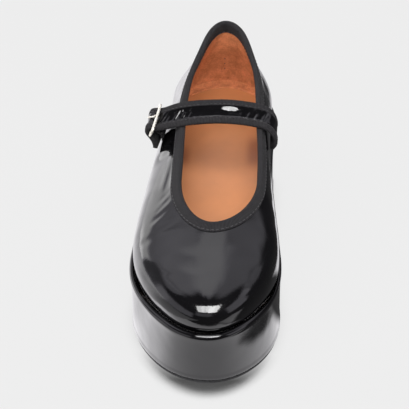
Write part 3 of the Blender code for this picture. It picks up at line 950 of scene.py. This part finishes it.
class SHOE_OT_platform(bpy.types.Operator):
    """Patent wrap of the platform with its rounded top bead, and the welt stitches behind it"""
    bl_idname = "shoe.platform"
    bl_label = "Platform"

    foot_round = 0.0008      # height over which the lower edge is rounded
    turned_under = 0.0035
    lip = 0.0095             # inset at which the wrap ends on top
    side_bead = 0.55         # of the bead's radius, along the sides
    toe_bead_from, toe_bead_over = 0.205, 0.030    # where the bead grows to its whole radius
    welt_inset = 0.0046
    stitch_radius = 0.00022

    def execute(self, context):
        looks, sizes = finishes(context), context.scene.shoe_sizes
        turn = turns(480)
        flat = outline(turn, WALL_INSET)
        base, top = ground(flat[:, 1]) + OUTSOLE_THICK + GAP, seat(flat[:, 1]) - BEAD_DROP
        bottom = base + self.foot_round
        rows = [np.column_stack([outline(turn, inset), base + lift]) for inset, lift in
                ((self.turned_under, 0.0), (WALL_INSET + 0.0009, 0.0),
                 (WALL_INSET + 0.0003, 0.0002), (WALL_INSET, self.foot_round))]
        for share in np.linspace(0, 1, 22)[1:]:
            inset = WALL_INSET * (1 - share ** 6) + 0.0005 * (1 - share)
            rows.append(np.column_stack([outline(turn, inset), bottom + (top - bottom) * share]))
        grown = np.clip((flat[:, 1] - self.toe_bead_from) / self.toe_bead_over, 0, 1)
        radius = BEAD_RADIUS * (self.side_bead + (1 - self.side_bead) * grown)
        for degrees in range(8, 156, 7):
            a = math.radians(degrees)
            flat = outline(turn, radius * (1 - math.cos(a)))
            rows.append(raised(flat, seat, radius * math.sin(a) - BEAD_DROP))
        rows.append(raised(outline(turn, self.lip), seat, -GAP))
        points = np.array(rows)
        wave = ripples(points * np.array([0.8, 0.8, 0.5])) * 0.35
        outward = (points - np.array([0.0, LENGTH / 2, 0.0])) * np.array([1.0, 1.0, 0.0])
        points = points - unit(outward) * np.abs(wave)[..., None]
        wrap = add_surface("platform_wrap", place(points), looks["patent_platform"],
                           wrap=True, flip=True)
        finish_piece(wrap, "patent", "platform")

        path = closed(raised(outline(turn, self.welt_inset), seat, GAP))
        seam("welt_stitches", path, np.tile([0.0, 0.0, 1.0], (len(path), 1)),
             sizes.stitch_pitch * 0.7, sizes.stitch_pitch * 0.5, self.stitch_radius,
             looks["black_thread"], "patent")
        return {"FINISHED"}


class SHOE_OT_outsole(bpy.types.Operator):
    """Thin rubber outsole with shallow cross grooves"""
    bl_idname = "shoe.outsole"
    bl_label = "Outsole"

    tread_inset = 0.0034
    groove_pitch = 0.0052
    groove_depth = 0.0007
    groove_bow = 0.0035      # by which a groove's ends lie nearer the heel than its middle
    waist, waist_half = 0.098, 0.018    # middle and half length of the plain waist
    fade = 0.003             # over which the grooves run out

    def execute(self, context):
        looks = finishes(context)
        turn = turns(360)
        profile = ((self.tread_inset, 0.0), (0.0026, 0.0001), (0.0020, 0.0004), (0.0017, 0.0009),
                   (OUTSOLE_INSET, OUTSOLE_THICK - 0.0003), (0.0019, OUTSOLE_THICK),
                   (0.0060, OUTSOLE_THICK))
        rows = [raised(outline(turn, inset), ground, lift) for inset, lift in profile]
        edge = add_surface("outsole_edge", place(rows), looks["outsole_rubber"],
                           wrap=True, flip=True)
        finish_piece(edge, "outsole")

        flat, across = sole_sheet(lambda turn: self.tread_inset, 460, 41)
        along, near_edge = flat[..., 1], 1 - np.abs(across) ** 12
        from_ends = np.minimum(along - 0.010, LENGTH - 0.014 - along)
        ends = np.clip(from_ends / self.fade, 0, 1)
        waist = np.clip((np.abs(along - self.waist) - self.waist_half) / self.fade, 0, 1)
        bow = self.groove_bow * across ** 2
        wave = np.cos(2 * math.pi * (along + bow) / self.groove_pitch)
        lift = self.groove_depth * np.clip(wave * 2.5 - 1.4, 0, 1) * ends * waist * near_edge
        tread = add_surface("outsole_tread", place(raised(flat, ground, lift)),
                            looks["outsole_rubber"])
        finish_piece(tread, "outsole", "outsole")
        return {"FINISHED"}


class SHOE_OT_strap(bpy.types.Operator):
    """Instep strap: dished patent between two puffed woven ribbons, stitched and punched"""
    bl_idname = "shoe.strap"
    bl_label = "Strap"

    ribbon_share = 0.47       # ribbon covers the strap from here outwards
    patent_lift = 0.00085     # at which the patent tucks under the ribbon
    patent_thick = 0.0003
    dish = (0.00022, 0.00068, 0.0070, 0.0058)    # depth, extra depth, where across, reach
    gathers = ((-0.0225, 0.0085), (0.0240, 0.0070))    # where across the leather wrinkles, reach
    wrinkle_pitch = 0.0041
    puff, puff_pitch = 0.00007, 0.0052    # height and spacing of the ribbon's puffs
    punched_steps = (14.4, 19.5, 20.4)
    punch_profile = ((0.0013, 0.00048), (0.0011, 0.00070), (0.0008, 0.00068), (0.0006, 0.00020))

    def execute(self, context):
        looks, sizes = finishes(context), context.scene.shoe_sizes
        steps = np.linspace(0.0, STRAP_END, 420)
        length = run_length(place(strap_section(steps, 0.0, 0.0)))
        self.patent(looks, sizes, steps, length)

        profile = ((0.95, -0.50), (0.95, -0.86), (-0.95, -0.86), (-0.95, -0.50), (0.95, -0.50))
        rows = [strap_section(steps, a, b * STRAP_THICK / 2) for a, b in profile]
        core = add_surface("strap_lining", place(rows), looks["outsole_rubber"], flip=True)
        finish_piece(core, "strap")
        for edge, side in (("toe", 1), ("heel", -1)):
            self.binding(looks, sizes, steps, length, edge, side)
        self.punches(looks)
        self.ends(looks)
        return {"FINISHED"}

    def patent(self, looks, sizes, steps, length):
        """The patent sags between its ribbons and gathers into slanted wrinkles near the bends."""
        across = read(STRAP_ROWS, ACROSS, steps)
        depth, extra, where, reach = self.dish
        sag = depth + extra * np.exp(-((across - where) / reach) ** 2)
        loose = 0.12 + sum(np.exp(-((across - c) / r) ** 2) for c, r in self.gathers)
        loose = np.where(np.abs(across) > 0.031, 0.7, np.minimum(loose, 1.0))
        rows = []
        for share in np.linspace(-1, 1, 29):
            rising = math.sin(math.pi / 2 * min(1, (share + 1) / 1.1)) ** 2
            hollow = rising * (1 - max(0, (share - 0.75) / 0.25) ** 2)
            slant = 2 * math.pi * (length / self.wrinkle_pitch - 0.55 * share)
            wrinkle = np.sin(slant + 1.4 * np.sin(length * 310)) \
                + 0.6 * np.sin(slant * 1.73 + 2.0 + 2.2 * share)
            lift = self.patent_lift - sag * hollow + sizes.pucker * loose * wrinkle * hollow ** 0.5
            rows.append(strap_section(steps, share * (self.ribbon_share + 0.03), lift))
        patent = add_surface("strap_patent", place(rows), looks["patent_strap"], flip=True)
        finish_piece(thicken(patent, self.patent_thick), "patent", "strap")

    def binding(self, looks, sizes, steps, length, edge, side):
        """Ribbon folded over one edge of the strap, standing prouder than the patent."""
        start = self.ribbon_share
        profile = ((start - 0.01, 0.35), (start - 0.005, 0.80), (start + 0.02, 1.02), (0.56, 1.12),
                   (0.70, 1.15), (0.84, 1.10), (0.94, 0.90), (0.985, 0.55), (1.0, 0.1),
                   (0.995, -0.35), (0.97, -0.72), (0.90, -0.96), (0.70, -1.0), (0.52, -1.0),
                   (start, -0.8))
        puff = self.puff * np.sin(length * 2 * math.pi / self.puff_pitch + 2.1 * side)
        grid = place([strap_section(steps, side * a, STRAP_THICK / 2 * b + puff * (b > 1))
                      for a, b in profile])
        uv = length, run_length(grid[:, 40])
        ribbon = add_surface(f"strap_binding_{edge}", grid, looks["grosgrain"], flip=side > 0, uv=uv)
        finish_piece(ribbon, "strap")
        sewn = steps[4:-8]
        path = strap_section(sewn, side * (start + 0.10), STRAP_THICK / 2 * 1.12)
        seam(f"strap_stitches_{edge}", path, ribbon_frame(sewn)[2], sizes.stitch_pitch * 0.9,
             sizes.stitch_pitch * 0.62, 0.00012, looks["black_thread"], "strap")

    def punches(self, looks):
        """Small punched holes for the prong, each with a pressed rim."""
        steps = np.array(self.punched_steps)
        middle, ahead = strap_section(steps, 0.0, 0.0), strap_section(steps + 0.1, 0.0, 0.0)
        _, wide, out = ribbon_frame(steps)
        spokes = circle(unit(ahead - middle), wide, 16)
        rings = [middle[:, None] + spokes * radius + out[:, None] * lift
                 for radius, lift in self.punch_profile]
        verts = place(np.stack(rings, axis=1))
        punches = add_mesh("strap_punches", verts, quads(len(steps), len(rings), 16, 16),
                           looks["outsole_rubber"])
        finish_piece(punches, "strap")

    @staticmethod
    def ends(looks):
        """Ribbon closing both ends of the strap."""
        across = np.linspace(-0.98, 0.98, 21)
        for name, first, last in (("medial", 0.28, 0.0), ("tail", STRAP_END - 0.5, STRAP_END)):
            profile = [(step, 1.02) for step in np.linspace(first, last, 6)]
            profile += [(last, lift) for lift in (0.8, 0.0, -0.8, -1.0)]
            grid = place([strap_section(np.full(len(across), step), across, STRAP_THICK / 2 * lift)
                          for step, lift in profile])
            uv = np.linspace(0, 0.016, len(across)), np.linspace(0, 0.004, len(profile))
            end = add_surface(f"strap_end_{name}", grid, looks["grosgrain"], uv=uv,
                              flip=name == "medial")
            finish_piece(end, "strap")


class SHOE_OT_buckle(bpy.types.Operator):
    """Small silver buckle with its prong, and the tab that holds it"""
    bl_idname = "shoe.buckle"
    bl_label = "Buckle"

    wire_radius = 0.00085
    frame_width = 0.0226
    frame_corner = 0.0030
    shift = 0.0006
    near_clear = 0.0012
    far_clear = 0.0007
    prong = 0.0006
    prong_end = 0.0016       # by which it passes the near bar
    tab_width, tab_narrow = 0.0120, 0.0070    # at the buckle, and how much narrower at its foot
    tab_thick = 0.0010

    def execute(self, context):
        looks = finishes(context)
        middle, across, down, length = self.bars()
        path = []
        for sx, sy, start in ((1, 1, 0), (-1, 1, 90), (-1, -1, 180), (1, -1, 270)):
            corner = middle + across * sx * (self.frame_width / 2 - self.frame_corner) \
                + down * sy * (length / 2 - self.frame_corner)
            for degrees in range(start, start + 91, 15):
                a = math.radians(degrees)
                path.append(corner + self.frame_corner * (math.cos(a) * across + math.sin(a) * down))
        wire("buckle_wire", path, self.wire_radius, looks["buckle_silver"], "buckle_frame", ring=True)

        centre, _, out = ribbon_frame(np.linspace(FAR_BAR - 0.9, NEAR_BAR + 0.9, 6))
        path = list(centre + out * (STRAP_THICK / 2 + GAP + self.prong * 0.6))
        face = np.cross(across, down)
        face = face if face[2] > 0 else -face
        rest = middle - down * length / 2 + face * (self.wire_radius + self.prong)
        path += [path[-1] * 0.5 + rest * 0.5, rest, rest - down * self.prong_end]
        wire("buckle_prong", path, self.prong, looks["buckle_silver"], "buckle_pin",
             taper=((-2, 0.9), (-1, 0.55)))
        self.tab(looks, across)
        return {"FINISHED"}

    def bars(self):
        """Middle of the frame, its direction across the strap, down the strap, and its length."""
        centre, wide, out = ribbon_frame(np.array([NEAR_BAR, FAR_BAR]))
        reach = STRAP_THICK / 2 + GAP + self.wire_radius
        near = centre[0] + out[0] * (reach + self.near_clear)
        far = centre[1] - out[1] * (reach + self.far_clear)
        across = unit(wide[0] + wide[1])
        down = far - near
        down = down - across * across.dot(down)
        length = np.linalg.norm(down)
        return (near + far) / 2 + across * self.shift, across, down / length, length

    def tab(self, looks, across):
        """Woven tab from the quarter up to the buckle's far bar."""
        steps = np.linspace(0, 3, 30)
        width = (self.tab_width - self.tab_narrow * np.clip(1.0 - steps, 0, 1) ** 2)[:, None]
        centre = read_point(TAB_ROWS, steps)
        out = unit(np.cross(np.broadcast_to(across, centre.shape), np.gradient(centre, axis=0)))
        out = out * np.where(out[:, 2:] < 0, -1.0, 1.0)
        profile = ((0.5, 0.4), (0.5, -0.4), (0.42, -0.5), (-0.42, -0.5), (-0.5, -0.4), (-0.5, 0.4),
                   (-0.42, 0.5), (0.42, 0.5), (0.5, 0.4))
        grid = place([centre + across * width * a + out * self.tab_thick * b for a, b in profile])
        tab = add_surface("buckle_tab_ribbon", grid, looks["grosgrain"],
                          uv=(run_length(grid[0]), run_length(grid[:, 0])))
        finish_piece(tab, "strap", "buckle_tab")
        for edge, share in (("toe", 0.38), ("heel", -0.38)):
            path = centre + across * width * share + out * self.tab_thick / 2
            seam(f"tab_stitches_{edge}", path, out, 0.0022, 0.0016, 0.00022,
                 looks["black_thread"], "strap")


# ---------------------------------------------------------------- stage
def square(name, reach, height, material):
    """Flat square round the middle of the stage."""
    grid = np.array([[(x, y, height) for x in (-reach, reach)] for y in (-reach, reach)])
    return add_surface(name, grid, material)


def light_panel(name, position, target, width, height, radiance):
    """Soft rectangular light of a given brightness, facing its target."""
    light = bpy.data.lights.new(name, "AREA")
    light.shape = "RECTANGLE"
    light.size, light.size_y = width, height
    light.energy = radiance * math.pi * width * height
    item = add_object(name, light)
    turn = (Vector(target) - Vector(position)).to_track_quat("-Z", "Y").to_matrix().to_4x4()
    item.matrix_world = Matrix.Translation(position) @ turn
    item.visible_camera = False
    return item


class SHOE_OT_stage(bpy.types.Operator):
    """Pale floor, studio light, the glow that the patent mirrors, and the camera"""
    bl_idname = "shoe.stage"
    bl_label = "Stage"

    def execute(self, context):
        stage, colours = context.scene.shoe_stage, context.scene.shoe_colours
        self.floor(colours)
        self.floor_glow()
        self.world(context, colours)
        self.lights(stage)
        self.camera(context, stage)
        context.scene.view_settings.view_transform = "Standard"
        return {"FINISHED"}

    @staticmethod
    def floor(colours):
        """Pale paper with a tight shadow under the shoe, deepest round its toe."""
        toe_shadow, side_shadow, open_floor = 0.09, 0.80, 0.95
        material, tree, shader = new_material(
            "floor_paper", (0.02, 0.02, 0.02), 0.95, Specular_IOR_Level=0.0,
            Emission_Color=(*colours.floor, 1.0))
        near = add_node(tree, "AmbientOcclusion", Distance=0.020, samples=16).outputs["AO"]
        deepest = spread(tree, split_coordinates(tree)[1], toe_shadow, side_shadow, -0.108, -0.082)
        feed(tree, shader, Emission_Strength=spread(tree, near, deepest, open_floor, 0.36, 0.68))
        paper = square("floor", 6.0, 0.0, material)
        paper.visible_glossy = False

    @staticmethod
    def floor_glow():
        """What the gloss sees of the floor: pale round the shoe, dark where its mate would stand."""
        material, tree, shader = new_material(
            "floor_glow", (0.0, 0.0, 0.0), 1.0, Specular_IOR_Level=0.0,
            Emission_Color=(1.0, 0.985, 1.015, 1.0))
        across, along, _ = split_coordinates(tree)
        feed(tree, shader, Emission_Strength=glow(tree, across, along, FLOOR_GLOW))
        card = square("floor_glow", 5.9, GAP, material)
        for kind in ("camera", "diffuse", "shadow", "transmission", "volume_scatter"):
            setattr(card, "visible_" + kind, False)

    @staticmethod
    def world(context, colours):
        """Dim studio with soft bright areas, pale where the camera looks."""
        world = bpy.data.worlds.new("studio")
        context.scene.world = world
        world.use_nodes = True
        tree = world.node_tree
        tree.nodes.clear()
        x, y, z = split_coordinates(tree, "Generated")
        turn = math_node(tree, "DEGREES", math_node(tree, "ARCTAN2", x, y))
        height = math_node(tree, "DEGREES", math_node(tree, "ARCSINE", z))
        radiance = glow(tree, turn, height, SKY_GLOW)
        tint = blend_colours(tree, spread(tree, radiance, 0.0, 1.0, 0.6, 1.2), (1.0, 0.975, 1.07),
                             (1.0, 0.99, 1.0))
        studio = add_node(tree, "Background", Color=tint, Strength=radiance)
        pale = add_node(tree, "Background", Color=(*colours.floor, 1.0), Strength=1.0)
        mix = add_node(tree, "MixShader", Fac=add_node(tree, "LightPath").outputs["Is Camera Ray"])
        for socket, background in zip(mix.inputs[1:], (studio, pale)):
            plug(tree, socket, background.outputs[0])
        add_node(tree, "OutputWorld", Surface=mix.outputs[0])

    @staticmethod
    def lights(stage):
        """A softbox above the toe for the gloss, dimmer at its ends, and a broad fill overhead."""
        aim, far = Vector((0.0, -0.08, 0.07)), 1.7
        middle = Vector((0.0, -0.435, 0.90)) * far + aim
        width, height, left = 0.191 * far, 0.52 * far, -0.327 * far
        for k, share in enumerate((0.62, 0.80, 1.0, 0.85)):
            where = middle + Vector((width * (k + 0.5) + left, 0.0, 0.0))
            box = light_panel(f"softbox_{k + 1}", where, where + (aim - middle), width, height,
                              stage.key * share)
            box.visible_diffuse = False
        fill = light_panel("fill", (-0.1, -0.75, 1.45), (0.0, 0.0, 0.0), 2.6, 2.0, stage.fill)
        fill.visible_glossy = False

    @staticmethod
    def camera(context, stage):
        """Camera round the middle of the shoe, aimed so that the whole shoe fills the frame."""
        a, e, r = stage.azimuth, stage.elevation, stage.roll
        back = Vector((math.sin(a) * math.cos(e), -math.cos(a) * math.cos(e), math.sin(e)))
        up = back.cross(Vector((math.cos(a), math.sin(a), 0.0)))
        where = Vector((-CENTRE, 0.0, 0.06)) + back * stage.distance
        target = Vector((-CENTRE - 0.0075, -0.008, 0.057))
        back = (where - target).normalized()
        right = up.cross(back).normalized()
        up = back.cross(right)
        rolled_right = right * math.cos(r) - up * math.sin(r)
        rolled_up = right * math.sin(r) + up * math.cos(r)
        data = bpy.data.cameras.new("camera")
        data.lens = stage.lens
        data.clip_end = 20.0
        camera = add_object("camera", data)
        turn = Matrix((rolled_right, rolled_up, back)).transposed().to_4x4()
        camera.matrix_world = Matrix.Translation(where) @ turn
        context.scene.camera = camera


# ---------------------------------------------------------------- panel
PIECES = ("shoe.upper", "shoe.heel_lining", "shoe.binding", "shoe.sock", "shoe.platform",
          "shoe.outsole", "shoe.strap", "shoe.buckle", "shoe.stage")


class SHOE_PT_panel(bpy.types.Panel):
    """Buttons for each piece and their settings"""
    bl_idname = "SHOE_PT_panel"
    bl_label = "Platform Mary Jane"
    bl_space_type = "VIEW_3D"
    bl_region_type = "UI"
    bl_category = "Shoe"

    def draw(self, context):
        for piece in PIECES:
            self.layout.operator(piece)
        scene = context.scene
        for group in (scene.shoe_sizes, scene.shoe_colours, scene.shoe_stage):
            box = self.layout.box()
            for name in group.__annotations__:
                box.prop(group, name)


CLASSES = (ShoeSizes, ShoeColours, ShoeStage, SHOE_OT_upper, SHOE_OT_heel_lining, SHOE_OT_binding,
           SHOE_OT_sock, SHOE_OT_platform, SHOE_OT_outsole, SHOE_OT_strap, SHOE_OT_buckle,
           SHOE_OT_stage, SHOE_PT_panel)


def register():
    for cls in CLASSES:
        bpy.utils.register_class(cls)
    bpy.types.Scene.shoe_sizes = PointerProperty(type=ShoeSizes)
    bpy.types.Scene.shoe_colours = PointerProperty(type=ShoeColours)
    bpy.types.Scene.shoe_stage = PointerProperty(type=ShoeStage)


def unregister():
    del bpy.types.Scene.shoe_sizes, bpy.types.Scene.shoe_colours, bpy.types.Scene.shoe_stage
    for cls in reversed(CLASSES):
        bpy.utils.unregister_class(cls)


def main():
    register()
    bpy.ops.shoe.upper()
    bpy.ops.shoe.heel_lining()
    bpy.ops.shoe.binding()
    bpy.ops.shoe.sock()
    bpy.ops.shoe.platform()
    bpy.ops.shoe.outsole()
    bpy.ops.shoe.strap()
    bpy.ops.shoe.buckle()
    bpy.ops.shoe.stage()


if __name__ == "__main__":
    main()
